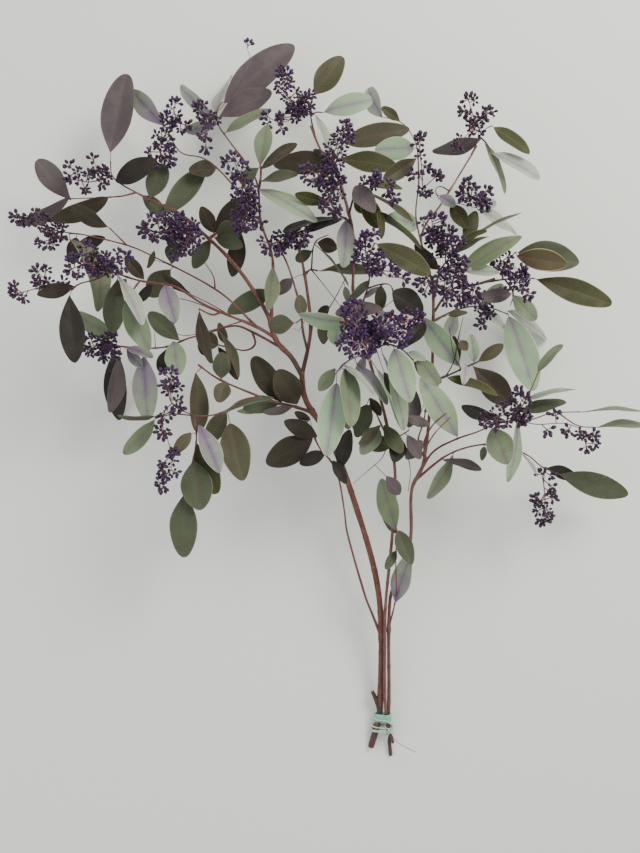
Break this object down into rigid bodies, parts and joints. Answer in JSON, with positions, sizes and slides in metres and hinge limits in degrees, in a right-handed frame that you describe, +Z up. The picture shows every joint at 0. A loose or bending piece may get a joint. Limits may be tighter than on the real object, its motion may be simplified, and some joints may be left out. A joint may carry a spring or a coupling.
{
  "type": "eucalyptus branch",
  "caption": "Cut branches of seeded eucalyptus with long oval leaves and bud clusters, tied at the foot and lying flat.",
  "frame": {"origin": "centre of the bounding box at its lowest level, on the surface the branches lie on", "axes": "+Y from the cut stem ends to the leafy tips, +Z up from the surface to the side the picture shows, +X to the right"},
  "size_m": [0.8262, 0.992, 0.2484],
  "materials": {
    "bark": "satin red-brown bark",
    "leaf_pale": "matte, powdery sage green",
    "leaf_dark": "dry, dark olive to brown",
    "bud": "smooth, near-black violet",
    "band": "matte mint tape",
    "string": "twisted pale green string"
  },
  "bodies": {
    "root": {"berries_centre": "bud", "berries_crown": "bud", "berries_crown_right": "bud", "berries_far_left": "bud", "berries_fork": "bud", "berries_hang_left": "bud", "berries_heart": "bud", "berries_high": "bud", "berries_left_crown": "bud", "berries_left_eye": "bud", "berries_left_low": "bud", "berries_left_mass": "bud", "berries_left_wing": "bud", "berries_limb": "bud", "berries_right": "bud", "berries_right_hang": "bud", "berries_right_high": "bud", "berries_right_low": "bud", "berries_right_mass": "bud", "berries_right_near": "bud", "berries_top": "bud", "berries_top_left": "bud", "berries_up_right": "bud", "berries_upper": "bud", "limb_mid": "leaf_pale", "spray_centre": "leaf_pale", "spray_centre_hang": "leaf_dark", "spray_centre_left": "leaf_dark", "spray_centre_up": "leaf_dark", "spray_cross": "leaf_dark", "spray_crown_left": "leaf_dark", "spray_crown_right": "leaf_pale", "spray_foot": "leaf_dark", "spray_front": "leaf_pale", "spray_hang_left": "leaf_dark", "spray_left_high": "leaf_dark", "spray_left_low": "leaf_dark", "spray_left_mid": "leaf_dark", "spray_left_top": "leaf_dark", "spray_limb_left": "leaf_dark", "spray_low_left": "leaf_dark", "spray_right": "leaf_dark", "spray_right_back": "leaf_pale", "spray_right_fork": "leaf_pale", "spray_right_hang": "leaf_dark", "spray_right_low": "leaf_pale", "spray_right_mid": "leaf_dark", "spray_right_up": "leaf_dark", "spray_shadow": "leaf_dark", "spray_top": "leaf_pale", "spray_top_left": "leaf_pale", "spray_top_mid": "leaf_dark", "spray_top_right": "leaf_pale", "stem_left": "bark", "stem_middle": "bark", "stem_right": "bark", "tie_band": "band", "tie_string": "string", "twig_left": "leaf_dark"}
  },
  "joints": []
}
